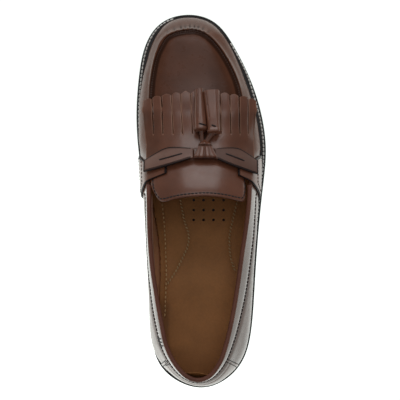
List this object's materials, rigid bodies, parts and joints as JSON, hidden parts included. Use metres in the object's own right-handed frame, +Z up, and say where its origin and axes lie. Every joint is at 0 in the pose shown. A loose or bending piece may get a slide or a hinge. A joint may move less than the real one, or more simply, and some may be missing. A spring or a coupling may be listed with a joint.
{
  "type": "tassel loafer",
  "caption": "Slip-on leather loafer for the right foot with a moccasin toe, fringed kiltie, flat bow and hanging tassels, on a welted black sole with a low heel.",
  "frame": {"origin": "on the floor, under the middle of the shoe's box", "axes": "+Y towards the toe, +X towards the lateral side, +Z up"},
  "size_m": [0.106, 0.303, 0.087],
  "materials": {
    "upper_leather": "polished reddish brown",
    "overlay_leather": "polished brown",
    "binding_leather": "satin reddish brown",
    "footbed_leather": "matt tan brown",
    "welt_strip": "dark brown with light stitching",
    "sole_rubber": "black satin"
  },
  "bodies": {
    "root": {"outsole": "sole_rubber", "heel": "sole_rubber", "welt": "welt_strip", "insole": "footbed_leather", "upper": "upper_leather", "heel_counter": "upper_leather", "collar_binding": "binding_leather", "tongue": "overlay_leather", "kiltie": "overlay_leather", "saddle_strap_medial": "overlay_leather", "saddle_strap_lateral": "overlay_leather", "bow_wing_medial": "overlay_leather", "bow_wing_lateral": "overlay_leather", "bow_centre": "overlay_leather", "tassel_knot": "overlay_leather", "tassel_thong_medial": "overlay_leather", "tassel_thong_lateral": "overlay_leather", "tassel_medial": "overlay_leather", "tassel_lateral": "overlay_leather"}
  },
  "joints": []
}
